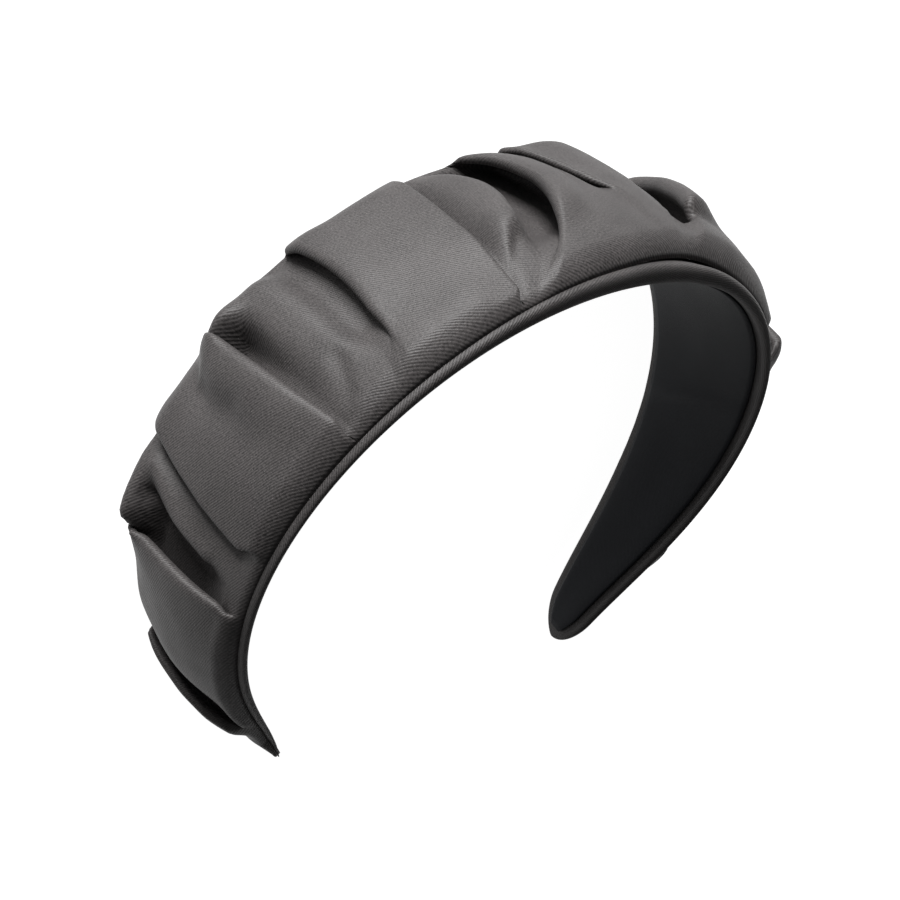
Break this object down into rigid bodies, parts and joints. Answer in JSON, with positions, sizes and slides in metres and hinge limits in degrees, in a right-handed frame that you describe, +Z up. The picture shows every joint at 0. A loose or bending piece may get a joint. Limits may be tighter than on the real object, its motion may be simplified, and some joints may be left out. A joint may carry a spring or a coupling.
{
  "type": "ruffled headband",
  "caption": "Padded alice-style headband with a box-pleated satin cover, rolled rims and a flat cloth lining, lying on its side.",
  "frame": {"origin": "middle of the footprint, on the surface that the headband lies on", "axes": "+X from one leg to the other, +Y from the tips to the crown, +Z up, away from the rim that it lies on"},
  "size_m": [0.1624, 0.1371, 0.0468],
  "materials": {
    "band_satin": "charcoal twill-faced satin, wrapped tight over padding",
    "cover_satin": "charcoal twill-faced satin with a soft sheen, pleated",
    "lining_cloth": "matt dark lining cloth"
  },
  "bodies": {
    "root": {"wrapped_band": "band_satin", "ruffle_cover": "cover_satin", "lining": "lining_cloth"}
  },
  "joints": []
}
